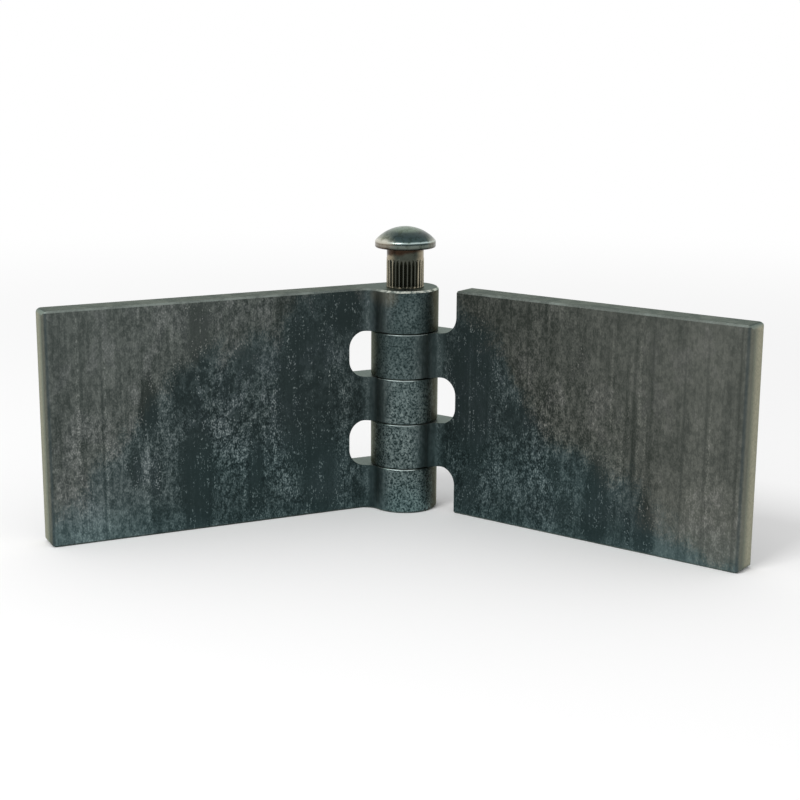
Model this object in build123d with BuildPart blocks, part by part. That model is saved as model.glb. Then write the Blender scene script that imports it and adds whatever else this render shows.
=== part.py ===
from build123d import *
import math
import os

os.makedirs("parts", exist_ok=True)

# Weld-on trailer door hinge: two leaves cut from one barrel-and-flat bar, and a headed pin.
# Millimetres. The pin axis is Z, the lower cut faces lie on Z = 0.
# The three-knuckle leaf runs along -X, with its flat back on the +Y side.
# The two-knuckle leaf is swung towards -Y by the rest angle.

# Bar that both leaves are cut from
leaf_thickness = 9.525
leaf_reach = 123.8
barrel_radius = 11.35
web_fillet = 5.0
end_round = 2.0
corner_round = 2.0

# Knuckles, counted from below, and the slots that take the other leaf's knuckles
knuckle_count = 5
knuckle_pitch = 15.42
top_knuckle = 14.52
seam_gap = 0.3
slot_reach = 19.7
slot_corner = 5.8
rim_break = 0.6
seam_break = 0.25
leaf_height = (knuckle_count - 1) * knuckle_pitch + top_knuckle

# Pin and its bore
pin_radius = 6.0
bore_clearance = 0.05
pin_grip = leaf_height
pin_tip_break = 0.8
head_radius = 10.15
head_rim = 2.2
head_dome = 4.7
head_under_round = 0.6
head_edge_round = 0.5
collar_length = 3.55
collar_rise = 0.18
knurl_length = 9.8
knurl_count = 28
knurl_rise = 0.29
knurl_lead = 0.14
knurl_depth = 0.35
knurl_land = 0.35
knurl_start = 0.7
knurl_runout = 2.3

# How far the two-knuckle leaf is folded from the flat, open position
rest_angle = 62.4

# The flat's front face stands behind the pin axis, its back is tangent to the barrel
front_y = barrel_radius - leaf_thickness
bore_radius = pin_radius + bore_clearance
half_gap = seam_gap / 2
past = 2 * barrel_radius

# Centre of the concave blend between flat and barrel, and where it meets the barrel
fillet_y = front_y - web_fillet
fillet_x = math.sqrt((barrel_radius + web_fillet) ** 2 - fillet_y**2)
touch_share = barrel_radius / (barrel_radius + web_fillet)
touch_x = fillet_x * touch_share
touch_y = fillet_y * touch_share

# Middle of the blend's arc
touch_turn = math.atan2(touch_y - fillet_y, touch_x - fillet_x)
blend_turn = (touch_turn + math.pi / 2) / 2
blend_x = fillet_x + web_fillet * math.cos(blend_turn)
blend_y = fillet_y + web_fillet * math.sin(blend_turn)

# Degrees of the barrel that stand free, from the back tangent round to the blend
free_arc = 270 + math.degrees(math.atan2(touch_y, touch_x))

# Section of the bar, with the flat running along +X
with BuildSketch() as bar_section:
    with BuildLine():
        Line((0, barrel_radius), (leaf_reach, barrel_radius))
        Line((leaf_reach, barrel_radius), (leaf_reach, front_y))
        Line((leaf_reach, front_y), (fillet_x, front_y))
        ThreePointArc((fillet_x, front_y), (blend_x, blend_y), (touch_x, touch_y))
        ThreePointArc((touch_x, touch_y), (-barrel_radius, 0), (0, barrel_radius))
    make_face()
    fillet(bar_section.vertices().group_by(Axis.X)[-1], radius=end_round)


# Bevel round the free side of the barrel, up is 1 where metal lies below the level and else -1
def bevel_barrel(level, up):
    with BuildSketch(Plane.YZ) as bevel:
        with BuildLine():
            Polyline(
                (barrel_radius - seam_break, level),
                (barrel_radius + seam_break, level),
                (barrel_radius + seam_break, level - 2 * up * seam_break),
                close=True,
            )
        make_face()
    revolve(bevel.sketch, axis=Axis.Z, revolution_arc=free_arc, mode=Mode.SUBTRACT)


# Slot for one knuckle of the other leaf, open at a cut face where it is the first or last
def cut_slot(index):
    bottom = index * knuckle_pitch - half_gap
    top = bottom + knuckle_pitch + seam_gap
    lower_end = bottom if index > 0 else -past
    upper_end = top if index < knuckle_count - 1 else leaf_height + past
    with BuildSketch(Plane.XZ) as slot:
        with Locations(((slot_reach - past) / 2, (lower_end + upper_end) / 2)):
            Rectangle(slot_reach + past, upper_end - lower_end)
        fillet(slot.vertices().group_by(Axis.X)[-1], radius=slot_corner)
    extrude(slot.sketch, amount=past, both=True, mode=Mode.SUBTRACT)
    if index > 0:
        bevel_barrel(bottom, 1)
    if index < knuckle_count - 1:
        bevel_barrel(top, -1)


# Length of bar with its edges broken, its outer corners rounded and a slot at every second level
def cut_bar(first_slot):
    with BuildPart() as leaf:
        extrude(bar_section.sketch, amount=leaf_height)
        chamfer(leaf.edges().group_by(Axis.Z)[-1], length=rim_break)
        chamfer(leaf.edges().group_by(Axis.Z)[0], length=rim_break)
        with BuildSketch(Plane.XZ) as outline:
            with Locations(((leaf_reach - past) / 2, leaf_height / 2)):
                Rectangle(leaf_reach + past, leaf_height)
            fillet(outline.vertices().group_by(Axis.X)[-1], radius=corner_round)
        extrude(outline.sketch, amount=past, both=True, mode=Mode.INTERSECT)
        for index in range(first_slot, knuckle_count, 2):
            cut_slot(index)
        with Locations((0, 0, leaf_height / 2)):
            Cylinder(bore_radius, leaf_height, mode=Mode.SUBTRACT)
    return leaf.part


with BuildPart() as leaf_three_knuckle:
    mirror(cut_bar(first_slot=1), about=Plane.YZ)
leaf_three_knuckle.part.label = "leaf_three_knuckle"

with BuildPart() as leaf_two_knuckle:
    add(cut_bar(first_slot=0), rotation=(0, 0, -rest_angle))
leaf_two_knuckle.part.label = "leaf_two_knuckle"

# Heights on the pin, whose knurl stands on the rim of the top knuckle's bore
seat = leaf_height
knurl_top = seat + knurl_length
under_head = knurl_top + collar_length
rim_top = under_head + head_rim
pin_tip = under_head - pin_grip
collar_radius = pin_radius + collar_rise
crest_radius = pin_radius + knurl_rise
root_radius = pin_radius - knurl_depth

# Dome of the head as part of a sphere
dome_radius = (head_radius**2 + head_dome**2) / (2 * head_dome)
dome_turn = math.asin(head_radius / dome_radius) / 2
dome_mid_x = dome_radius * math.sin(dome_turn)
dome_mid_z = rim_top + head_dome - dome_radius * (1 - math.cos(dome_turn))

# Half width of one knurl groove per millimetre of its depth
groove_mouth = math.tau * crest_radius / knurl_count - knurl_land
groove_slope = groove_mouth / 2 / (crest_radius - root_radius)
groove_brim = crest_radius + knurl_rise

# One straight groove with its root running out at both ends, as height and root radius
with BuildPart() as groove:
    for level, root in (
        (seat, pin_radius),
        (seat + knurl_start, root_radius),
        (knurl_top - knurl_runout, root_radius),
        (knurl_top, collar_radius),
    ):
        with BuildSketch(Plane.XY.offset(level)):
            with BuildLine():
                Polyline(
                    (root, 0),
                    (groove_brim, (groove_brim - root) * groove_slope),
                    (groove_brim, -(groove_brim - root) * groove_slope),
                    close=True,
                )
            make_face()
    loft(ruled=True)

with BuildPart() as knurled_pin:
    with BuildSketch(Plane.XZ) as pin_section:
        with BuildLine():
            Polyline(
                (0, rim_top + head_dome),
                (0, pin_tip),
                (pin_radius - pin_tip_break, pin_tip),
                (pin_radius, pin_tip + pin_tip_break),
                (pin_radius, seat),
                (crest_radius - knurl_lead, seat),
                (crest_radius, seat + knurl_lead),
                (crest_radius, knurl_top - (crest_radius - collar_radius)),
                (collar_radius, knurl_top),
                (collar_radius, under_head),
                (head_radius, under_head),
                (head_radius, rim_top),
            )
            ThreePointArc(
                (head_radius, rim_top),
                (dome_mid_x, dome_mid_z),
                (0, rim_top + head_dome),
            )
        make_face()
        under_brim = pin_section.vertices().group_by(Axis.X)[-1].sort_by(Axis.Y)[0]
        fillet(under_brim, radius=head_under_round)
        upper_brim = pin_section.vertices().group_by(Axis.X)[-1].sort_by(Axis.Y)[-1]
        fillet(upper_brim, radius=head_edge_round)
    revolve(pin_section.sketch, axis=Axis.Z)
    with PolarLocations(0, knurl_count):
        add(groove.part, mode=Mode.SUBTRACT)
knurled_pin.part.label = "knurled_pin"

export_step(leaf_three_knuckle.part, "parts/leaf_three_knuckle.step")
export_step(leaf_two_knuckle.part, "parts/leaf_two_knuckle.step")
export_step(knurled_pin.part, "parts/knurled_pin.step")
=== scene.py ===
# %% [markdown]
# # Trailer door hinge in mill-scale steel
# The real hinge is welded to a trailer and its door. Two leaves are cut from one rolled bar of
# barrel-and-flat section, slotted so that their knuckles interlock, and a headed pin holds them.
# The leaves come from the CAD frame and keep their shape, and the pin gets a finer surface. This
# lesson gives them their skin: rolled scale, drawing lines, specks of bare metal, and the light
# of a small studio.

# %% Load the frame
import math
import types
import bpy
import numpy as np
from mathutils import Matrix, Vector


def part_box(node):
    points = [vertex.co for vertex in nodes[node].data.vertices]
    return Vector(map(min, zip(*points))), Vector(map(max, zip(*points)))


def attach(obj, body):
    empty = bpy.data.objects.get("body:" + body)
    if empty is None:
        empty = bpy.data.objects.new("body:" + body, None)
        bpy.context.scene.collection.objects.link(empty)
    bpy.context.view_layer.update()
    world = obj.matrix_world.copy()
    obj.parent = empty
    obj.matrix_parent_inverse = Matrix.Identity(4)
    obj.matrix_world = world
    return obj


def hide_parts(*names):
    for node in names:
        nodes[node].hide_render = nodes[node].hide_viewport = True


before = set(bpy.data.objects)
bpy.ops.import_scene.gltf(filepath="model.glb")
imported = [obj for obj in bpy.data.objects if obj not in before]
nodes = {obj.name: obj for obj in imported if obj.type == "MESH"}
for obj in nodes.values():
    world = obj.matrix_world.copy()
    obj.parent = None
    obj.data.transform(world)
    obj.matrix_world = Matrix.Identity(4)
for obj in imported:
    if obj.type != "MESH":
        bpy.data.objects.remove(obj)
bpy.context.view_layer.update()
print("nodes:", sorted(nodes))

# %% [markdown]
# ## The camera
# A long lens a little above the hinge shows both leaves without strong perspective. The camera
# has a place and three angles. Blender wants a matrix, so three directions are worked out:
# forwards, to the right, and down in the picture.

# %% Set the camera
camera_place = Vector((-0.24503, -0.49246, 0.16364))
camera_turn = math.radians(23.812)
camera_dip = math.radians(12.973)
camera_roll = math.radians(0.162)
focal_pixels = 1651.0
middle_pixel = 330
picture_pixels = 800
sensor_width = 36.0

ahead = Vector(
    (
        math.sin(camera_turn) * math.cos(camera_dip),
        math.cos(camera_turn) * math.cos(camera_dip),
        -math.sin(camera_dip),
    )
)
level = Vector((math.cos(camera_turn), -math.sin(camera_turn), 0))
down = ahead.cross(level)
right = level * math.cos(camera_roll) + down * math.sin(camera_roll)
below = down * math.cos(camera_roll) - level * math.sin(camera_roll)

camera_data = bpy.data.cameras.new("camera")
camera_data.sensor_width = sensor_width
camera_data.lens = focal_pixels * sensor_width / picture_pixels
camera_data.shift_x = 0.5 - middle_pixel / picture_pixels
camera_data.clip_start = 0.01
camera_data.clip_end = 20
camera = bpy.data.objects.new("camera", camera_data)
camera_axes = Matrix((right, -below, -ahead)).transposed().to_4x4()
camera.matrix_world = Matrix.Translation(camera_place) @ camera_axes
bpy.context.scene.collection.objects.link(camera)
bpy.context.scene.camera = camera
print("lens in mm:", round(camera_data.lens, 2))

# %% [markdown]
# ## Wires that do sums
# A finish is a sum of patterns. Node trees are hard to read, so one small class stands for the
# output of a node. Adding or multiplying two of them adds the Math node that does it. Any other
# node comes from one method, which takes its type, its settings and what goes into it.

# %% A wire of a node tree
class Wire:
    """The output of a node. Sums of wires and numbers add Math nodes to the same tree."""

    def __init__(self, tree, socket=None):
        self.tree = tree
        self.socket = socket

    def node(self, kind, settings, sockets, out=0):
        """Add a node: its settings come first, then its sockets get values or wires."""
        made = self.tree.nodes.new(kind)
        for name, value in settings.items():
            if name == "stops":
                set_stops(made.color_ramp, value)
            else:
                setattr(made, name, value)
        for key, value in sockets.items():
            if isinstance(value, Wire):
                self.tree.links.new(value.socket, made.inputs[key])
            else:
                made.inputs[key].default_value = value
        return Wire(self.tree, made.outputs[out])

    def sum(self, operation, first, second):
        """One Math node on two wires or numbers."""
        return self.node("ShaderNodeMath", {"operation": operation}, {0: first, 1: second})

    def __add__(self, other):
        return self.sum("ADD", self, other)

    def __radd__(self, other):
        return self.sum("ADD", other, self)

    def __sub__(self, other):
        return self.sum("SUBTRACT", self, other)

    def __rsub__(self, other):
        return self.sum("SUBTRACT", other, self)

    def __mul__(self, other):
        return self.sum("MULTIPLY", self, other)

    def __rmul__(self, other):
        return self.sum("MULTIPLY", other, self)


# %% Ramps
def set_stops(colour_ramp, stops):
    """Give a colour ramp its stops, each a place from 0 to 1 and a colour."""
    while len(colour_ramp.elements) < len(stops):
        colour_ramp.elements.new(1.0)
    for element, (place, colour) in zip(colour_ramp.elements, stops):
        element.position = place
        element.color = (*colour, 1.0)


def ramp(value, stops):
    """A colour that follows a value from 0 to 1 through the stops."""
    return value.node("ShaderNodeValToRGB", {"stops": stops}, {"Fac": value})


def grey_ramp(value, stops):
    """Numbers that follow a value from 0 to 1 through the stops."""
    return ramp(value, [(place, (level, level, level)) for place, level in stops])


# %% Steps and mixes
def ease(value, low, high):
    """0 below low and 1 above high, with a smooth S between. Low may be the larger one."""
    limits = {"Value": value, "From Min": low, "From Max": high}
    return value.node("ShaderNodeMapRange", {"interpolation_type": "SMOOTHSTEP"}, limits)


def rgba(colour):
    """A colour with full cover, or the wire of one as it is."""
    return colour if isinstance(colour, Wire) else (*colour, 1.0)


def blend(share, first, second):
    """The first colour where the share is 0 and the second where it is 1."""
    sockets = {0: share, 6: rgba(first), 7: rgba(second)}
    return share.node("ShaderNodeMix", {"data_type": "RGBA"}, sockets, out=2)


def tinted(share, colour, tint):
    """A colour multiplied by the tint, by the given share."""
    settings = {"data_type": "RGBA", "blend_type": "MULTIPLY"}
    return share.node("ShaderNodeMix", settings, {0: share, 6: colour, 7: rgba(tint)}, out=2)


# %% Places and noise
def vector_sum(operation, first, second):
    """One Vector Math node on a wire and a second wire or three numbers."""
    return first.node("ShaderNodeVectorMath", {"operation": operation}, {0: first, 1: second})


def vector_number(operation, first, second=(0, 0, 0)):
    """A Vector Math node that gives one number, such as a length."""
    sockets = {0: first, 1: second}
    return first.node("ShaderNodeVectorMath", {"operation": operation}, sockets, out="Value")


def parts_of(place):
    """The three numbers of a place as wires."""
    kind = "ShaderNodeSeparateXYZ"
    return [place.node(kind, {}, {"Vector": place}, out=axis) for axis in range(3)]


def noise(place, scale, detail=2.0, rough=0.5, bend=0.0):
    """Cloudy noise, about 0.5 on average. The scale is given per millimetre and per axis."""
    sockets = {"Vector": vector_sum("MULTIPLY", place, scale), "Scale": 1.0, "Detail": detail}
    sockets.update({"Roughness": rough, "Distortion": bend})
    return place.node("ShaderNodeTexNoise", {"noise_dimensions": "3D"}, sockets)


# %% [markdown]
# ## Where a point lies on a leaf
# A pattern needs to know how far a point is from the pin, because the real leaf changes along
# its length. The leaf's own millimetres come from its Object coordinates: turned until the leaf
# lies along X, and mirrored for the leaf that runs the other way. They stay with the leaf when it
# swings, and a pattern in them has a real size.

# %% Start a finish
def new_finish(name):
    """A material with one Principled shader, and a wire to start its sums from."""
    finish = bpy.data.materials.new(name)
    finish.use_nodes = True
    shader = finish.node_tree.nodes["Principled BSDF"]
    return finish, shader, Wire(finish.node_tree)


def plug(finish, shader, name, wire):
    """Lead a wire into a socket of the shader."""
    finish.node_tree.links.new(wire.socket, shader.inputs[name])


# %% Place and facing on a leaf
def leaf_place(start, mirrored, turn):
    """Millimetres on a leaf: X outwards from the pin axis, Y through the flat, Z upwards."""
    side = -1000.0 if mirrored else 1000.0
    objects = start.node("ShaderNodeTexCoord", {}, {}, out="Object")
    turned = start.node("ShaderNodeMapping", {}, {"Vector": objects, "Rotation": (0, 0, turn)})
    return vector_sum("MULTIPLY", turned, (side, 1000.0, 1000.0))


def leaf_facing(start, turn):
    """How much a face looks along X, Y and Z of its leaf, without the sign."""
    facing = start.node("ShaderNodeTexCoord", {}, {}, out="Normal")
    turned = start.node("ShaderNodeMapping", {}, {"Vector": facing, "Rotation": (0, 0, turn)})
    return turned.node("ShaderNodeVectorMath", {"operation": "ABSOLUTE"}, {0: turned})


# %% [markdown]
# ## Marks of the rolled skin
# Rolling leaves a dark blue-grey scale on the bar, and drawing it through a die scores fine
# lines along it and rubs the scale thin. The large marks are what tells one leaf from another:
# where the scale is whole, where it is rubbed pale, and where the die has scored it. A picture
# of them would be fixed to one view, so each mark is a soft upright oval in the leaf's own
# millimetres, and noise frays its edge.

# %% Sizes of the leaf in millimetres
reach = 123.8
height = 76.2
knuckle_radius = 11.35
slot_reach = 19.7
print("a leaf reaches", reach, "mm from the pin axis and is", height, "mm high")

# %% Large marks on the three-knuckle leaf
# Each is an upright oval: distance from the pin, height, half width, half height, strength.
whole_three = [
    (90.5, 43.0, 3.6, 10.0, 0.85), (95.5, 24.0, 2.6, 8.0, 0.75), (88.5, 16.0, 2.4, 18.0, 0.60),
    (77.0, 47.0, 7.0, 11.0, 0.72), (74.5, 17.0, 5.5, 20.0, 1.10), (57.0, 55.0, 4.5, 6.0, 0.85),
    (63.0, 47.0, 4.0, 4.5, 0.70), (54.0, 17.0, 2.6, 15.0, 1.10), (35.0, 42.0, 10.5, 26.0, 1.10),
    (31.0, 15.0, 8.5, 18.0, 0.90), (22.0, 70.0, 7.0, 9.0, 0.85), (73.0, 65.0, 5.5, 13.0, 0.72),
    (61.0, 37.0, 2.2, 3.0, 0.80), (50.0, 22.0, 2.0, 10.0, 0.50), (70.0, 26.0, 34.0, 34.0, 0.18),
]
pale_three = [
    (113.5, 50.0, 0.6, 34.0, 0.6), (91.2, 18.0, 0.35, 18.0, 0.4), (104.6, 30.0, 0.4, 34.0, 0.6),
    (85.0, 38.0, 2.0, 16.0, 0.4), (50.5, 22.0, 0.5, 20.0, 0.7), (47.0, 32.0, 0.6, 14.0, 0.6),
    (58.0, 12.0, 0.5, 11.0, 0.5), (72.5, 46.5, 1.5, 1.1, 1.0), (79.5, 46.0, 1.1, 0.9, 0.8),
    (61.5, 41.5, 1.2, 0.9, 0.7), (55.0, 44.0, 1.0, 1.6, 0.5), (66.0, 36.0, 3.0, 5.0, 0.3),
    (26.0, 51.0, 3.0, 7.0, 0.7), (21.5, 36.0, 2.0, 12.0, 0.7), (34.0, 48.0, 2.4, 2.0, 0.8),
    (41.0, 12.0, 4.0, 5.0, 0.6), (13.4, 38.0, 0.7, 60.0, 0.8), (24.0, 16.0, 2.0, 8.0, 0.5),
]
scored_three = [
    (105.6, 30.0, 0.4, 36.0, 1.0), (112.2, 40.0, 0.5, 34.0, 0.6), (92.4, 50.0, 0.4, 24.0, 0.6),
    (99.5, 30.0, 0.4, 26.0, 0.4), (119.5, 36.0, 0.6, 36.0, 0.4), (56.0, 12.0, 0.4, 12.0, 0.7),
    (70.0, 20.0, 0.5, 22.0, 0.6), (81.0, 30.0, 0.5, 20.0, 0.5),
]
blotted_three = [
    (70.0, 45.0, 15.0, 12.0, 1.0), (56.0, 34.0, 10.0, 12.0, 0.8), (30.0, 44.0, 10.0, 16.0, 0.5),
]
# A pale stain on the top knuckle, then painted glints along the barrel's edge away from the flat.
stains_and_glints_three = [
    (9.8, 74.4, 2.2, 3.0, 0.34), (-9.1, 7.0, 0.9, 7.0, 0.70), (-9.1, 38.0, 0.8, 7.0, 0.55),
    (-9.1, 68.0, 0.6, 6.0, 0.30),
]
print("three knuckles:", len(whole_three), "whole and", len(pale_three), "pale marks")

# %% Large marks on the two-knuckle leaf
whole_two = [
    (27.0, 41.5, 9.0, 23.5, 1.10), (44.0, 37.0, 6.0, 6.5, 0.75), (58.0, 18.0, 3.0, 10.0, 0.60),
    (74.0, 12.0, 5.0, 16.0, 0.95), (91.0, 8.0, 3.8, 12.0, 0.90), (66.5, 59.0, 3.2, 7.0, 0.50),
    (25.0, 9.0, 5.0, 12.0, 0.60), (63.0, 8.0, 5.0, 9.0, 0.55), (40.0, 22.0, 14.0, 24.0, 0.12),
    (84.0, 38.0, 2.5, 10.0, 0.40), (82.0, 8.0, 8.0, 11.0, 0.50),
]
pale_two = [
    (88.2, 48.0, 0.6, 30.0, 0.5), (90.4, 28.0, 0.4, 20.0, 0.5), (112.0, 28.0, 0.5, 26.0, 0.5),
    (25.5, 40.0, 0.4, 16.0, 0.7), (33.5, 36.0, 0.8, 16.0, 0.6), (82.5, 25.0, 0.6, 16.0, 0.5),
    (52.5, 32.0, 0.4, 14.0, 0.4), (98.0, 14.0, 5.0, 9.0, 0.15), (43.0, 44.0, 3.0, 8.0, 0.3),
    (110.0, 14.0, 14.0, 22.0, 0.18), (78.5, 52.0, 0.4, 18.0, 0.5), (13.4, 38.0, 0.7, 60.0, 0.8),
    (16.2, 50.0, 0.5, 14.0, 0.6), (36.0, 50.0, 1.2, 7.0, 0.6),
]
scored_two = [
    (92.0, 46.0, 1.1, 34.0, 0.9), (86.5, 30.0, 0.8, 30.0, 0.9), (103.3, 34.0, 0.5, 26.0, 1.1),
    (47.5, 60.0, 0.5, 16.0, 0.9), (41.0, 68.0, 0.5, 12.0, 0.9), (76.5, 48.0, 0.6, 20.0, 0.7),
    (110.6, 40.0, 0.5, 34.0, 0.7), (62.8, 66.0, 0.8, 12.0, 0.6), (121.0, 38.0, 0.4, 60.0, 0.8),
    (84.0, 50.0, 0.6, 14.0, 0.7), (52.0, 40.0, 0.5, 12.0, 0.6), (95.0, 20.0, 0.6, 20.0, 0.5),
]
blotted_two = [(43.0, 40.0, 10.0, 12.0, 0.5)]
# Painted glints along the barrel's edge away from the flat.
glints_two = [(-9.0, 22.0, 0.9, 7.5, 0.90), (-9.0, 55.0, 0.7, 7.0, 0.50)]
print("two knuckles:", len(whole_two), "whole and", len(pale_two), "pale marks")

# %% [markdown]
# ## What changes along a leaf
# Besides its marks, a leaf changes slowly from the pin to its end. It grows paler outwards, and
# its grain is finest near the slots. A painted warm reflection turns its upper outer part from
# blue to a warm grey. Each of these is a short list of stops: a share of the reach, and the value
# there.

# %% Stops along the three-knuckle leaf
tone_three = [
    (0.00, 0.48), (0.10, 0.48), (0.16, 0.43), (0.36, 0.41), (0.42, 0.42), (0.60, 0.46),
    (0.70, 0.57), (0.80, 0.59), (1.00, 0.58),
]
fine_three = [
    (0.00, 0.48), (0.30, 0.48), (0.36, 0.56), (0.56, 0.54), (0.70, 0.46), (0.85, 0.34),
    (1.00, 0.26),
]
# Height of the line above which the painted warm reflection lies, as a share of the leaf's height.
warm_three = [
    (0.00, 1.00), (0.30, 1.00), (0.36, 0.84), (0.57, 0.76), (0.65, 0.66), (0.73, 0.55),
    (0.81, 0.40), (0.91, 0.24), (1.00, 0.13),
]
print("three knuckles: warm above", round(height * warm_three[-1][1]), "mm at the outer end")

# %% Stops along the two-knuckle leaf
tone_two = [
    (0.00, 0.48), (0.10, 0.48), (0.20, 0.42), (0.35, 0.46), (0.50, 0.51), (0.70, 0.54),
    (0.85, 0.60), (1.00, 0.63),
]
fine_two = [
    (0.00, 0.50), (0.25, 0.54), (0.44, 0.54), (0.60, 0.34), (0.80, 0.17), (1.00, 0.15),
]
# Height of the line above which the painted warm reflection lies, as a share of the leaf's height.
warm_two = [
    (0.00, 1.00), (0.15, 0.92), (0.24, 0.84), (0.31, 0.76), (0.34, 0.62), (0.40, 0.52),
    (0.48, 0.37), (0.61, 0.33), (0.69, 0.26), (0.77, 0.16), (0.89, 0.04), (1.00, 0.00),
]
print("two knuckles: warm above", round(height * warm_two[-1][1]), "mm at the outer end")

# %% The two leaves side by side
# The shift moves the noise, so that the leaves don't look alike. The upper lift is how much paler
# the upper middle of a leaf is, and the warm reflection share is how strong its painted warm
# reflection gets.
leaves = {
    "leaf_three_knuckle": {
        "finish": "scale_three", "mirrored": True, "turn": 0.0, "shift": 0.0,
        "upper_lift": 0.10, "warm_reflection_share": 0.65,
        "whole": whole_three, "pale": pale_three, "scored": scored_three,
        "blotted": blotted_three, "stains_and_glints": stains_and_glints_three,
        "tone": tone_three, "fine": fine_three, "warm": warm_three,
    },
    "leaf_two_knuckle": {
        "finish": "scale_two", "mirrored": False, "turn": math.radians(62.4), "shift": 300.0,
        "upper_lift": 0.02, "warm_reflection_share": 1.0,
        "whole": whole_two, "pale": pale_two, "scored": scored_two,
        "blotted": blotted_two, "stains_and_glints": glints_two,
        "tone": tone_two, "fine": fine_two, "warm": warm_two,
    },
}
print("leaves to coat:", list(leaves))

# %% [markdown]
# ## The skin of the leaves
# Where the scale has thinned, crisp grains of paler steel show through. Where it is whole, the
# face is smooth and dark. So the finish first decides, for each point, whether the scale is
# whole, and then draws either a dark skin with a few flecks or a field of grains. The result is
# one number, how worn the scale is. A colour ramp turns it into steel only at the very end,
# because numbers are easier to add up than colours. In these sums the number before a noise says
# how much it counts, and the two numbers of an ease say where a change begins and ends, in
# millimetres where it follows a place.

# %% Noises of the skin
# Scale per millimetre outwards, through and upwards, then detail, roughness and bend. The first
# six are round spots from 15 mm down to half a millimetre, the last three are drawn out upwards,
# the way that the bar was drawn.
skin_noises = {
    "patches": ((0.075, 0.075, 0.05), 4.0, 0.6, 0.5),
    "islands": ((0.34, 0.34, 0.17), 5.0, 0.72, 0.4),
    "blots": ((0.40, 0.40, 0.32), 3.0, 0.6, 0.6),
    "clots": ((0.85, 0.85, 0.55), 1.5, 0.6),
    "pits": ((1.5, 1.5, 1.5), 1.5, 0.6),
    "grains": ((2.3, 2.3, 1.4), 1.0, 0.6),
    "bands": ((0.25, 0.25, 0.006), 4.0, 0.7),
    "strokes": ((1.0, 1.0, 0.06), 3.0, 0.65),
    "lines": ((1.9, 1.9, 0.02), 2.0, 0.6),
}
print("noises of the skin:", list(skin_noises))


# %% What a point of a leaf is like
def survey_leaf(start, leaf):
    """
    All that the finish asks about a point: its place and facing, its noises, and from 0 to 1
    how far it is on the flat, on the barrel, on the barrel's round side, and low on the leaf.
    """
    at = types.SimpleNamespace(place=leaf_place(start, leaf["mirrored"], leaf["turn"]))
    at.along, at.through, at.up = parts_of(at.place)
    at.outwards, at.sideways, at.upwards = parts_of(leaf_facing(start, leaf["turn"]))
    at.skyward = parts_of(start.node("ShaderNodeTexCoord", {}, {}, out="Normal"))[2]
    sample = vector_sum("ADD", at.place, (0, leaf["shift"], leaf["shift"]))
    for name, look in skin_noises.items():
        setattr(at, name, noise(sample, *look))
    at.flat = ease(at.along, knuckle_radius + 1.0, knuckle_radius + 5.0)
    at.barrel = ease(at.along, knuckle_radius - 0.4, knuckle_radius - 3.0)
    at.round_side = ease(at.along, knuckle_radius + 0.5, knuckle_radius - 4.5)
    at.low_down = ease(at.up, 62, 26)
    return at


# %% Soft ovals
def ovals(place, marks):
    """The strongest of the marks at a place: its strength in the middle, half of it at the rim."""
    most = None
    for along, up, half_width, half_height, strength in marks:
        offset = vector_sum("SUBTRACT", place, (along, 0, up))
        offset = vector_sum("MULTIPLY", offset, (1 / half_width, 0.0, 1 / half_height))
        mark = strength * ease(vector_number("LENGTH", offset), 1.7, 0.3)
        most = mark if most is None else place.sum("MAXIMUM", most, mark)
    return most


# %% How much fine grain a point has
def fine_grain(at, leaf):
    """The leaf's stops of grain, stronger low down and in some patches, and even on the barrel."""
    fine = grey_ramp(at.along * (1 / reach), leaf["fine"]) * (0.50 + 0.50 * at.low_down)
    fine = at.flat * fine * (0.75 + 1.5 * (at.patches - 0.5)) * (1 - 0.25 * ease(at.up, 24, 4))
    return fine + at.barrel * (0.36 + 0.32 * at.low_down)


# %% Where the scale is whole
def whole_scale(at, leaf, fine):
    """1 inside the marks of whole scale. Noises fray their rims, more where the grain is fine."""
    fray = 2.9 * (at.islands - 0.5) + 1.5 * (at.strokes - 0.5)
    fray = fray + 0.8 * (at.clots - 0.5) + 0.6 * (at.bands - 0.5)
    off_barrel = ease(at.along, knuckle_radius - 0.5, knuckle_radius + 2.0)
    return ease(ovals(at.place, leaf["whole"]) + fray * (0.35 + fine), 0.32, 0.66) * off_barrel


def smooth_scale(at):
    """How worn whole scale looks: dark and nearly even, with a few bright flecks."""
    fleck = ease(at.grains + 0.5 * (at.clots - 0.5), 0.58, 0.68)
    fleck = fleck * ease(at.islands + 0.9 * (at.strokes - 0.5), 0.46, 0.62)
    smooth = 0.29 + 0.30 * (at.patches - 0.5) + 0.16 * (at.strokes - 0.5)
    return smooth + 0.52 * fleck + 0.14 * (at.grains - 0.5)


# %% Where the scale is rubbed thin
def bare_specks(at):
    """Specks of steel and clots of scale as sharp spots. On the barrel the specks are rounder."""
    speck = ease(at.grains, 0.40, 0.70)
    round_speck = 0.72 * ease(at.pits, 0.37, 0.55) + 0.8 * (at.grains - 0.5)
    return speck + at.barrel * (round_speck - speck), ease(at.clots, 0.36, 0.64)


def leaf_tone(at, leaf):
    """
    The even part of thin scale: the leaf's stops of tone, with painted shade on the flat next to
    the barrel, and painted light in the fillet between barrel and flat and on the barrel's side
    away from the flat.
    """
    tone = grey_ramp(at.along * (1 / reach), leaf["tone"])
    tone = tone + at.barrel * (0.11 * at.low_down - 0.07 + 0.08 * ease(at.up, 64, 58))
    painted_shade_by_barrel = (1 - at.barrel) * ease(at.along, knuckle_radius + 9.0, knuckle_radius + 2.0)
    painted_light_in_fillet = ease(at.along, 8.4, 10.2) * ease(at.along, 12.0, 10.8) * ease(at.through, 7, 4)
    painted_light_on_barrel_side = ease(at.along, 0.5, -1.5) * ease(at.along, -8.5, -6.0)
    return tone - 0.11 * painted_shade_by_barrel + 0.20 * painted_light_in_fillet + 0.10 * painted_light_on_barrel_side


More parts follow.
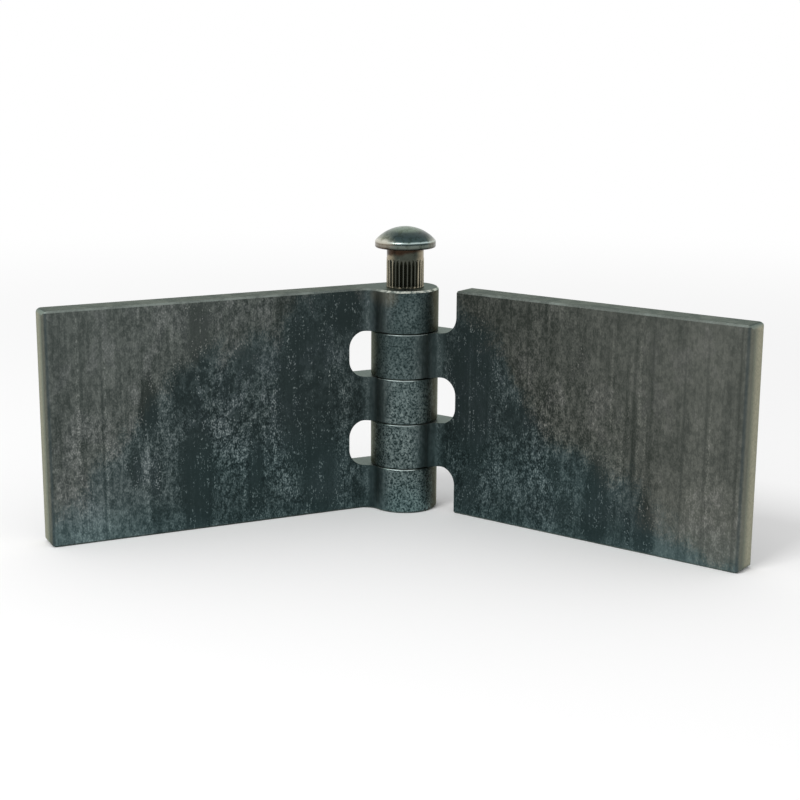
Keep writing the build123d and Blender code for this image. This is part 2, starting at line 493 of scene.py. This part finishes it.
def rubbed_scale(at, leaf, fine, speck, clot):
    """How worn thin scale looks: its tone and each noise, the small ones by the share of grain."""
    coarse = 1 - 0.6 * at.barrel
    wear_and_painted_light = leaf_tone(at, leaf) + 0.50 * (at.patches - 0.5)
    wear_and_painted_light = wear_and_painted_light + 0.35 * (at.bands - 0.5) + 0.14 * (at.lines - 0.5)
    wear_and_painted_light = wear_and_painted_light + (0.12 + 0.45 * fine) * (1 - 0.8 * at.barrel) * (at.strokes - 0.5)
    wear_and_painted_light = wear_and_painted_light + (0.22 + 1.15 * fine) * coarse * (at.islands - 0.5)
    return wear_and_painted_light + 0.98 * fine * (speck - 0.42) + (0.08 + 0.64 * fine) * coarse * (clot - 0.5)


# %% How worn the scale is
def scale_wear(at, leaf):
    """
    0 where the scale is darkest and 1 where the steel is bare. Thin and whole scale are mixed,
    then the pale, scored and blotted marks, the foot, the lower outer corner, the upper middle
    and the lower edge each add their own share.
    """
    fine = fine_grain(at, leaf)
    speck, clot = bare_specks(at)
    wear_and_painted_light = rubbed_scale(at, leaf, fine, speck, clot)
    worn = wear_and_painted_light + whole_scale(at, leaf, fine) * (smooth_scale(at) - wear_and_painted_light)
    worn = worn + 0.22 * ovals(at.place, leaf["pale"]) * (0.40 + 1.1 * speck)
    worn = worn - 0.12 * ovals(at.place, leaf["scored"]) * (0.5 + 1.0 * clot)
    worn = worn + 0.27 * ovals(at.place, leaf["blotted"]) * (ease(at.blots, 0.41, 0.60) - 0.5)
    worn = worn + 0.05 * ease(at.up, 32, 12) * ease(at.along, 84, 104)
    worn = worn + 0.02 * ease(at.up, 36, 20) * at.flat
    upper_middle = ease(at.up, 48, 62) * ease(at.along, 40, 54) * ease(at.along, 92, 78)
    return worn + leaf["upper_lift"] * upper_middle + 0.06 * ease(at.up, 4, 0.6) * at.flat


# %% [markdown]
# ## The colour of the scale
# Scale is blue-grey, and a warm grey where a warm reflection is painted on it. Two ramps give
# these colours for each amount of wear. Weak tints then lie over them, because real scale is never
# one hue: bluer at the foot and on the barrel, and slightly purple in patches. A brown on the
# barrel's far side is a painted warm sheen, and the pale marks along the barrel's edges are
# painted glints.

# %% Colours of the scale as linear red, green and blue, from its darkest to bare steel
cool_scale = [
    (0.00, (0.014, 0.021, 0.021)),
    (0.30, (0.027, 0.039, 0.039)),
    (0.52, (0.059, 0.079, 0.079)),
    (0.75, (0.120, 0.148, 0.146)),
    (1.00, (0.225, 0.262, 0.254)),
]
# The warm ramp colours the painted warm reflection.
warm_reflection_scale = [
    (0.00, (0.021, 0.026, 0.022)),
    (0.30, (0.041, 0.047, 0.041)),
    (0.52, (0.079, 0.086, 0.076)),
    (0.75, (0.132, 0.139, 0.122)),
    (1.00, (0.250, 0.258, 0.228)),
]
barrel_tint = (0.94, 1.01, 1.01)
foot_tint = (0.84, 1.02, 1.05)
purple_tint = (1.02, 0.970, 1.060)
# Browns of a painted warm sheen on the barrel's side away from the flat.
far_side_warm_sheen = ((0.034, 0.026, 0.015), (0.098, 0.074, 0.043))
# Colour of the pale stain and of the painted glints on the barrel's edges.
pale_stain_and_glint = (0.240, 0.215, 0.160)
print("stops of scale:", len(cool_scale), "cool and", len(warm_reflection_scale), "warm")


# %% Where a painted warm reflection lies on the scale
def painted_warm_reflection(at, leaf):
    """1 above a frayed line that falls outwards from the barrel, on the flat alone: the painted
    warm reflection.
    """
    line = height * grey_ramp(at.along * (1 / reach), leaf["warm"])
    above = at.up - line + 34 * (at.patches - 0.5) + 14 * (at.grains - 0.5)
    return ease(above, -5, 6) * at.flat * leaf["warm_reflection_share"]


# %% Mix the scale's colour
def scale_colour(at, leaf, worn):
    """The colour for an amount of wear, plain or under the painted warm reflection, then each
    tint, the painted sheen, and the stains and painted glints by their own share.
    """
    warm = painted_warm_reflection(at, leaf)
    off_barrel = 1 - at.round_side
    colour = blend(warm, ramp(worn, cool_scale), ramp(worn, warm_reflection_scale))
    colour = tinted(at.round_side, colour, barrel_tint)
    foot = ease(at.up, 18, 0) * (1 - 0.5 * warm)
    inner_foot = 0.7 * ease(at.up, 38, 18) * ease(at.along, 92, 68) * off_barrel
    foot = worn.sum("MAXIMUM", foot, inner_foot)
    colour = tinted(0.8 * foot, colour, foot_tint)
    purple = ease(at.patches + 0.5 * (at.islands - 0.5), 0.50, 0.60)
    colour = tinted(0.3 * (purple * off_barrel * (1 - 0.7 * foot)), colour, purple_tint)
    # A painted warm sheen on the barrel's side away from the flat.
    frayed = at.along + 6.0 * (at.patches - 0.5) + 4.0 * (at.grains - 0.5)
    far_side_sheen = ease(frayed, -2.5, -7.0) * ease(at.through + 6.0 * (at.islands - 0.5), 5, -5)
    colour = blend(0.80 * far_side_sheen, colour, blend(at.grains, *far_side_warm_sheen))
    # The pale stain and the painted glints along the barrel's edges.
    stain_and_glint = ovals(at.place, leaf["stains_and_glints"]) * ease(at.through, 3, 0) * (0.6 + 0.8 * at.grains)
    return blend(stain_and_glint, colour, pale_stain_and_glint)


# %% [markdown]
# ## Cut faces and edges
# The saw leaves bare faces at the top, at the foot and in the slots, and the bevels round them
# have been rubbed bright. The bevel round the top of the barrel also carries a painted highlight,
# and the upward-facing bevels at the seams carry painted highlights. The outer end was sheared
# and is nearly bare, with painted shade towards its front edge. Which way a face looks tells these
# apart, so nothing has to be painted by hand: up for a cut, half up for a bevel, and outwards for
# the end.

# %% Colours of cut faces and edges
sawn_steel = ((0.040, 0.046, 0.041), (0.096, 0.100, 0.086))
barrel_end = ((0.060, 0.073, 0.068), (0.115, 0.130, 0.122))
lower_cut = ((0.095, 0.113, 0.108), (0.215, 0.240, 0.230))
sheared_end_and_shade = ((0.138, 0.142, 0.115), (0.370, 0.342, 0.255))
dark_corner = (0.040, 0.055, 0.058)
slot_floor = (0.12, 0.105, 0.075)
bevel_grey = (0.20, 0.23, 0.21)
worn_rim_and_highlight = (0.60, 0.62, 0.55)
painted_seam_highlight = (0.60, 0.70, 0.69)
times_paler = sheared_end_and_shade[1][1] / sawn_steel[1][1]
print("the sheared end is", round(times_paler, 1), "times as pale as the sawn top")


# %% Find the edges
def edges_of(at):
    """Shares from 0 to 1: cut by the saw, bevelled, outer end, its rounded edge, slot's end."""
    cut = ease(at.upwards, 0.82, 0.95)
    slot = ease(at.sideways, 0.3, 0.1) * ease(at.along, slot_reach + 1.5, slot_reach + 0.5)
    bevel = ease(at.upwards, 0.35, 0.55) * (1 - cut) * (1 - slot * ease(at.along, 12.0, 13.0))
    end = ease(at.along, reach - 1.6, reach - 0.3) * ease(at.outwards, 0.55, 0.85)
    corner = ease(at.along, reach - 2.4, reach - 1.4)
    corner = corner * ease(at.outwards, 0.15, 0.45) * ease(at.outwards, 0.85, 0.6)
    return types.SimpleNamespace(cut=cut, bevel=bevel, end=end, corner=corner, slot=slot)


# %% Colour the cut faces
def sawn_colour(at):
    """Mottled grey on the upper face, evener on the barrel, and paler on the faces below."""
    mottle = ease(at.islands + 0.6 * (at.patches - 0.5) + 0.3 * (at.grains - 0.5), 0.38, 0.62)
    sawn = blend(mottle, *sawn_steel)
    sawn = blend(ease(at.along, slot_reach, 6.0), sawn, blend(at.grains, *barrel_end))
    return blend(ease(at.up, height - 2.0, height - 4.0), sawn, blend(at.grains, *lower_cut))


# %% Colour the edges
def edge_colour(at, colour):
    """Lay the cut faces, the outer end, the slots' ends and the worn bevels over a colour, with
    painted highlights on the barrel's top rim and on the seams, and painted shade on the end.
    """
    edges = edges_of(at)
    colour = blend(edges.cut, colour, sawn_colour(at))
    colour = blend(0.6 * edges.corner, colour, dark_corner)
    # The sheared end is nearly bare steel, darker towards its front edge as painted shade.
    bare = blend(ease(at.through, 3.0, 7.5), *sheared_end_and_shade)
    colour = blend(edges.end * (0.75 + 0.9 * (at.grains - 0.5)), colour, bare)
    colour = blend(edges.slot * (1 - edges.cut) * 0.6, colour, slot_floor)
    below_top = ease(at.up, height - 1.0, height - 1.6)
    cloudy = ease(at.patches, 0.40, 0.60)
    shown = (0.15 + 0.6 * at.grains + 0.5 * cloudy) * (1 - 0.6 * below_top)
    colour = blend(edges.bevel * shown, colour, bevel_grey)
    # Along the top of the barrel the worn bevel also carries a painted highlight.
    rim = edges.bevel * (1 - below_top) * ease(at.along, 12, 9) * ease(at.islands, 0.44, 0.54)
    colour = blend(rim * 0.8, colour, worn_rim_and_highlight)
    # The upward-facing bevels at the seams carry a painted highlight.
    seam = below_top * edges.bevel * ease(at.skyward, 0.3, 0.6)
    seam = seam * ease(at.along, 0.0, 3.0) * ease(at.along, 11.5, 9.0)
    return blend(seam * (0.45 + 0.5 * cloudy), colour, painted_seam_highlight), edges.bevel


# %% The finish of a leaf
scale_relief = 0.00004


def leaf_steel(leaf):
    """Scale, cut faces and edges of one leaf. Worn steel is glossier, and grains stand proud."""
    finish, shader, start = new_finish(leaf["finish"])
    at = survey_leaf(start, leaf)
    worn = scale_wear(at, leaf)
    colour, bevel = edge_colour(at, scale_colour(at, leaf, worn))
    plug(finish, shader, "Base Color", colour)
    plug(finish, shader, "Roughness", 0.50 - 0.12 * worn - 0.12 * bevel)
    shader.inputs["Metallic"].default_value = 1.0
    shader.inputs["Specular Tint"].default_value = (0.70, 0.78, 0.72, 1)
    relief = 0.7 * at.grains + 0.3 * at.lines
    sockets = {"Height": relief, "Strength": 1.0, "Distance": scale_relief}
    plug(finish, shader, "Normal", relief.node("ShaderNodeBump", {}, sockets))
    return finish


# %% Coat the leaves
for name, leaf in leaves.items():
    finish = leaf_steel(leaf)
    for slot in nodes[name].material_slots:
        slot.material = finish
    print(name, "is coated with", len(finish.node_tree.nodes), "nodes")

# %% [markdown]
# ## The pin
# The pin is a headed bar with straight splines rolled into its neck. Driven home, the splines
# bite into the top knuckle and keep the pin from turning. Here they stand on the rim of its bore.
# One surface makes the whole pin: a height and an angle go in, and the radius comes out. That
# lets each spline run out softly into the collar, which a cut solid can't do so well.

# %% Sizes of the pin in millimetres
pin_low, pin_high = (1000 * np.array(corner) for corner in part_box("knurled_pin"))
pin_radius = 6.0
tip_break = 0.8
bore_rim = height
spline_count = 28
spline_length = 9.8
spline_lead = 0.14
spline_start = 0.7
spline_runout = 2.3
crest_radius = 6.29
root_radius = 5.65
collar_length = 3.55
collar_radius = 6.18
collar_throat = 0.35
head_radius = 10.15
rim_height = 2.2
rim_round = 0.6
shoulder_round = 0.45
neck_rings = 56
dome_rings = 44
spline_end = bore_rim + spline_length
under_head = spline_end + collar_length
shoulder = under_head + rim_height
dome_height = pin_high[2] - shoulder
print("the pin runs from", round(pin_low[2], 2), "to", round(pin_high[2], 2), "mm")


# %% Round a corner of the outline
def rounded(start, corner, stop, steps):
    """A rounded corner, as the quadratic curve that the three points control."""
    share = np.linspace(0, 1, steps)[:, None]
    start, corner, stop = (np.array(point, dtype=float) for point in (start, corner, stop))
    return (1 - share) ** 2 * start + 2 * share * (1 - share) * corner + share**2 * stop


# %% Outline of the shank
# A point that lies between two corners is one more ring, which keeps smooth shading from bending
# a straight face.
def shank_outline():
    """Radius and height up to the bore's rim. The tip is bevelled by its break."""
    tip = pin_low[2]
    end_face = [(0, tip), (2.6, tip), (pin_radius - tip_break, tip)]
    bevel = [(pin_radius - tip_break / 2, tip + tip_break / 2), (pin_radius, tip + tip_break)]
    return end_face + bevel + [(pin_radius, bore_rim - below_rim) for below_rim in (20, 0.6, 0)]


# %% Outline of the neck and the collar
def neck_outline():
    """Radius and height up to the head: a lead, a straight neck in even steps, and the collar."""
    lead = [(crest_radius - spline_lead, bore_rim + 0.004), (crest_radius, bore_rim + spline_lead)]
    neck_top = spline_end - (crest_radius - collar_radius)
    rise = np.linspace(bore_rim + 0.3, neck_top, neck_rings)
    neck = np.stack([np.full(rise.size, crest_radius), rise], axis=1)
    collar = [(collar_radius, spline_end + above_end) for above_end in (0, 1.2, 2.4)]
    throat = rounded(
        (collar_radius, under_head - collar_throat),
        (collar_radius, under_head),
        (collar_radius + collar_throat, under_head),
        steps=6,
    )
    return np.concatenate([lead, neck, collar, throat])


# %% Outline of the head
def head_outline():
    """
    Radius and height of the head: its underside, its rim and its dome. The dome is part of a
    sphere, whose radius is (head radius squared + dome height squared) / (2 dome heights).
    """
    under = [(7.2, under_head), (8.4, under_head)]
    brim = rounded(
        (head_radius - rim_round, under_head),
        (head_radius, under_head),
        (head_radius, under_head + rim_round),
        steps=9,
    )
    side = [(head_radius, under_head + 0.9), (head_radius, under_head + 1.3)]
    sphere = (head_radius**2 + dome_height**2) / (2 * dome_height)
    turns = np.arcsin(head_radius / sphere) * np.linspace(0.975, 0, dome_rings)
    rise = shoulder + dome_height - sphere * (1 - np.cos(turns))
    dome = np.stack([sphere * np.sin(turns), rise], axis=1)
    below_shoulder = (head_radius, shoulder - shoulder_round)
    edge = rounded(below_shoulder, (head_radius, shoulder), dome[0], steps=8)
    return np.concatenate([under, brim, side, edge, dome[1:]])


outline = np.concatenate([shank_outline(), neck_outline(), head_outline()])
print("points along the outline:", len(outline))

# %% The pin's surface
groove_half_width = 0.36
rim_groove = 0.22


def pin_surface(outline, columns):
    """
    Turn the outline about Z. In the neck the radius falls by a share of the spline's depth:
    the share is 0 on a crest and 1 in a groove, and fades out at both ends of the neck.
    """
    turns = np.linspace(0, math.tau, columns, endpoint=False)
    radius, rise = outline[1:-1, :1], outline[1:-1, 1:]
    phase = np.abs((turns * spline_count / math.tau + 0.5) % 1 - 0.5)
    groove = 1 - np.clip(phase / groove_half_width, 0, 1) ** 1.5
    fade_low = np.clip((rise - bore_rim) / spline_start, rim_groove, 1) * (rise > bore_rim)
    fade_high = np.clip((spline_end - rise) / spline_runout, 0, 1)
    radius = radius - (crest_radius - root_radius) * groove * fade_low * fade_high
    turning = np.stack([radius * np.cos(turns), radius * np.sin(turns)], axis=-1)
    heights = np.broadcast_to(rise, radius.shape)[..., None]
    grid = np.concatenate([turning, heights], axis=-1).reshape(-1, 3)
    poles = [(0, 0, outline[0, 1]), (0, 0, outline[-1, 1])]
    return 0.001 * np.concatenate([grid, poles])


def ring_faces(rows, columns):
    """Quads between neighbouring rings and a fan of triangles at each pole, all facing out."""
    here = np.arange(columns)
    after = (here + 1) % columns
    row = columns * np.arange(rows - 1)[:, None]
    quads = np.stack([row + here, row + after, row + columns + after, row + columns + here], -1)
    low, high, top = rows * columns, rows * columns + 1, (rows - 1) * columns
    fan_low = np.stack([np.full(columns, low), after, here], -1)
    fan_high = np.stack([np.full(columns, high), top + here, top + after], -1)
    return quads.reshape(-1, 4).tolist() + fan_low.tolist() + fan_high.tolist()


# %% Put the pin in its place
def new_piece(name, points, faces):
    """An object at the origin, made of points in metres and faces."""
    mesh = bpy.data.meshes.new(name)
    mesh.from_pydata(points.tolist(), [], faces)
    piece = bpy.data.objects.new(name, mesh)
    bpy.context.scene.collection.objects.link(piece)
    return piece


columns = 12 * spline_count
rows = len(outline) - 2
pin = new_piece("splined_pin", pin_surface(outline, columns), ring_faces(rows, columns))
pin.data.shade_smooth()
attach(pin, "pin")
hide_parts("knurled_pin")
print("pin triangles:", sum(len(face.vertices) - 2 for face in pin.data.polygons))

# %% [markdown]
# ## The pin's finish
# The pin is bright steel, oiled and handled. Its colour carries painted light: a pale painted
# reflection on its crown, a painted highlight along the edge of its rim, a dark painted reflection
# on the belt of the dome, painted shade in the grooves, and a painted brown shadow on the collar
# under the head. How far a point is from the axis and how high it is give the places of these. The
# head and the neck carry painted highlights on their two flanks and are darker between, so a
# direction across the pin, fixed to it as the rest is, tells the flanks from the front.

# %% Painted reflections, highlights and shade up the head, from its underside to its crown
head_height = pin_high[2] - under_head
front_reflections = [
    (0.00, (0.012, 0.014, 0.012)),
    (0.05, (0.030, 0.036, 0.032)),
    (0.11, (0.120, 0.140, 0.122)),
    (0.20, (0.135, 0.160, 0.142)),
    (0.26, (0.022, 0.034, 0.032)),
    (0.30, (0.050, 0.075, 0.075)),
    (0.335, (0.520, 0.620, 0.600)),
    (0.365, (0.300, 0.380, 0.370)),
    (0.40, (0.050, 0.080, 0.080)),
    (0.60, (0.036, 0.056, 0.058)),
    (0.76, (0.050, 0.072, 0.068)),
    (0.86, (0.150, 0.200, 0.155)),
    (1.00, (0.180, 0.245, 0.185)),
]
flank_highlights = [
    (0.00, (0.030, 0.024, 0.018)),
    (0.06, (0.110, 0.080, 0.060)),
    (0.16, (0.260, 0.240, 0.200)),
    (0.24, (0.200, 0.170, 0.130)),
    (0.30, (0.520, 0.500, 0.420)),
    (0.40, (0.600, 0.590, 0.510)),
    (0.50, (0.300, 0.320, 0.255)),
    (0.70, (0.140, 0.175, 0.140)),
    (0.86, (0.150, 0.200, 0.155)),
    (1.00, (0.180, 0.245, 0.185)),
]
print("head levels:", len(front_reflections), "in front and", len(flank_highlights), "on the flanks")

# %% Other colours of the pin
grime = (0.56, 0.58, 0.50)
# Near-black painted shade for the grooves between the splines.
groove_shade = (0.013, 0.014, 0.009)
crest_steel = ((0.040, 0.043, 0.034), (0.085, 0.090, 0.074))
# Colour of the painted highlight on the crests towards the flanks.
flank_crest_highlight = (0.42, 0.38, 0.28)
bitten_crest = (0.50, 0.44, 0.33)
collar_steel = ((0.036, 0.042, 0.034), (0.075, 0.082, 0.066))
# Colour of the painted highlight on the collar's flanks.
collar_flank_highlight = (0.330, 0.280, 0.190)
# Browns of the painted shadow on the collar under the head.
painted_brown_shadow = ((0.010, 0.007, 0.005), (0.058, 0.030, 0.017))
# A fixed direction across the pin: towards both its ends lie the flanks with painted highlights,
# and the darker front lies between.
across_to_lit_flanks = (0.915, -0.404, 0)
times_paler = flank_crest_highlight[1] / crest_steel[1][1]
print("a bare crest is", round(times_paler, 1), "times as pale as the others")


# %% What a point of the pin is like
def survey_pin(start):
    """Its height, distance from the axis and place across the pin in millimetres, and noises."""
    objects = start.node("ShaderNodeTexCoord", {}, {}, out="Object")
    place = vector_sum("MULTIPLY", objects, (1000, 1000, 1000))
    across = vector_number("DOT_PRODUCT", place, across_to_lit_flanks)
    return types.SimpleNamespace(
        up=parts_of(place)[2],
        out=vector_number("LENGTH", vector_sum("MULTIPLY", place, (1, 1, 0))),
        across=across,
        offside=across.node("ShaderNodeMath", {"operation": "ABSOLUTE"}, {0: across}),
        cloud=noise(place, (0.30, 0.30, 0.30), detail=3.0, rough=0.6, bend=0.4),
        smear=noise(place, (0.9, 0.9, 0.9), detail=3.0, rough=0.6),
        streak=noise(place, (1.1, 1.1, 0.05), detail=2.0, rough=0.6),
    )


# %% Colour the head
def head_colour(at):
    """The painted reflections up the front and the painted highlights up the flanks, mixed by the
    place across, and then grimy.
    """
    level = (at.up - under_head) * (1 / head_height)
    level = level + 0.05 * (at.cloud - 0.5) + 0.03 * (at.smear - 0.5)
    # The flanks get the painted highlights, the front between them the painted reflections.
    near_flank = ease(at.across + 4.0 * (at.cloud - 0.5), -3.4, -7.6)
    far_flank = 0.50 * ease(at.across + 3.0 * (at.cloud - 0.5), 6.4, 9.2)
    flank = level.sum("MAXIMUM", near_flank, far_flank)
    head = blend(flank, ramp(level, front_reflections), ramp(level, flank_highlights))
    return tinted(ease(at.smear + 0.6 * (at.cloud - 0.5), 0.46, 0.62) * 0.7, head, grime)


# %% Colour the neck and the collar
def neck_colour(at):
    """Painted shade in the grooves between crests, a painted highlight on the crests towards the
    flanks, and crests bitten at their foot.
    """
    crest = ease(at.out, crest_radius - 0.24, crest_radius - 0.03)
    # A painted highlight on the crests towards the two flanks.
    wear_and_painted_light = ease(at.offside + 9.0 * (at.streak - 0.5), 3.6, 5.6)
    ridge = blend(wear_and_painted_light, blend(at.streak, *crest_steel), flank_crest_highlight)
    bitten = ease(at.up, bore_rim + 0.9, bore_rim + 0.3) * ease(at.smear, 0.42, 0.58)
    return blend(crest, groove_shade, blend(bitten, ridge, bitten_crest))


def collar_colour(at):
    """Plain steel with a painted highlight on the flanks, and a painted brown shadow above a
    slanting, frayed line under the head.
    """
    plain = blend(at.smear, *collar_steel)
    # A painted highlight on the collar towards the two flanks.
    plain = blend(0.9 * ease(at.offside + 2.0 * (at.cloud - 0.5), 3.0, 5.8), plain, collar_flank_highlight)
    # A painted brown shadow under the head, reaching further down on one side.
    slanting = at.up - 0.14 * at.across + 2.2 * (at.cloud - 0.5)
    shadow_under_head = ease(slanting, spline_end + 1.2, under_head - 1.0)
    return blend(0.93 * shadow_under_head, plain, blend(at.smear, *painted_brown_shadow))


# %% The finish of the pin
pin_relief = 0.00003


def pin_steel():
    """Neck, collar and head one above the other, on smeared bright steel."""
    finish, shader, start = new_finish("bright_pin")
    at = survey_pin(start)
    above_neck = ease(at.up, spline_end - 0.6, spline_end + 0.1)
    colour = blend(above_neck, neck_colour(at), collar_colour(at))
    colour = blend(ease(at.up, under_head - 0.05, under_head + 0.05), colour, head_colour(at))
    plug(finish, shader, "Base Color", colour)
    plug(finish, shader, "Roughness", 0.16 + 0.22 * at.smear)
    shader.inputs["Metallic"].default_value = 1.0
    sockets = {"Height": at.smear, "Strength": 0.6, "Distance": pin_relief}
    plug(finish, shader, "Normal", at.smear.node("ShaderNodeBump", {}, sockets))
    return finish


pin.data.materials.append(pin_steel())
print("the pin's finish has", len(pin.active_material.node_tree.nodes), "nodes")

# %% [markdown]
# ## Floor and light
# A pale floor carries the hinge and takes its shadow. Far away it turns into plain white for the
# camera and for reflections only, so no more light falls on the steel than a white room gives.
# One soft lamp high on the left models the barrel, and the room fills the shadows.

# %% White for the camera and for reflections
def seen_rays(start):
    """1 for rays from the camera, and for those that metal or glass sends on."""
    kinds = ("Is Camera Ray", "Is Glossy Ray", "Is Transmission Ray")
    rays = [start.node("ShaderNodeLightPath", {}, {}, out=kind) for kind in kinds]
    seen, mirrored, through = rays
    return start.sum("MAXIMUM", seen, start.sum("MAXIMUM", mirrored, through))


# %% Lay the floor
floor_half = 6.0
plain_floor, white_floor = 0.16, 0.8
corners = floor_half * np.array([(-1, -1, 0), (1, -1, 0), (1, 1, 0), (-1, 1, 0)])
floor = new_piece("floor", corners, [(0, 1, 2, 3)])
floor_finish, floor_shader, floor_start = new_finish("pale_floor")
floor_shader.inputs["Base Color"].default_value = (0.93, 0.93, 0.93, 1)
floor_shader.inputs["Roughness"].default_value = 0.9
floor_shader.inputs["Specular IOR Level"].default_value = 0.0
floor_place = floor_start.node("ShaderNodeTexCoord", {}, {}, out="Object")
far = ease(vector_number("LENGTH", floor_place), plain_floor, white_floor)
white = floor_start.node("ShaderNodeEmission", {}, {"Color": (1, 1, 1, 1), "Strength": 1.0})
cover = Wire(floor_finish.node_tree, floor_shader.outputs["BSDF"])
layers = {0: far * seen_rays(floor_start), 1: cover, 2: white}
mixed = floor_start.node("ShaderNodeMixShader", {}, layers)
floor_output = floor_finish.node_tree.nodes["Material Output"]
floor_finish.node_tree.links.new(mixed.socket, floor_output.inputs["Surface"])
floor.data.materials.append(floor_finish)
print("the floor is", 2 * floor_half, "m wide and white beyond", white_floor, "m")


# %% Hang the lamp
def soft_box(name, place, aim, side, power):
    """A square area lamp at a place, turned to face the aim."""
    lamp = bpy.data.lights.new(name, "AREA")
    lamp.size = side
    lamp.energy = power
    lamp_object = bpy.data.objects.new(name, lamp)
    way = Vector(aim) - Vector(place)
    turn = way.to_track_quat("-Z", "Y").to_matrix().to_4x4()
    lamp_object.matrix_world = Matrix.Translation(place) @ turn
    bpy.context.scene.collection.objects.link(lamp_object)
    return lamp_object


key_lamp = soft_box("key_lamp", (-0.75, -0.35, 1.0), aim=(0, 0, 0.03), side=0.4, power=6.0)
print("lamp of", key_lamp.data.energy, "W at", [round(number, 2) for number in key_lamp.location])

# %% Fill the room with white
room_light = 0.8
world = bpy.data.worlds.new("studio")
bpy.context.scene.world = world
world.use_nodes = True
room = world.node_tree
background = room.nodes["Background"]
background.inputs["Color"].default_value = (1, 1, 1, 1)
strength = room_light + (1 - room_light) * seen_rays(Wire(room))
room.links.new(strength.socket, background.inputs["Strength"])
print("the room lights the steel with", room_light, "of white")

# %% [markdown]
# ## Plain colours
# The picture is shown with plain colours, so that a colour looks as it is written.

bpy.context.scene.view_settings.view_transform = "Standard"
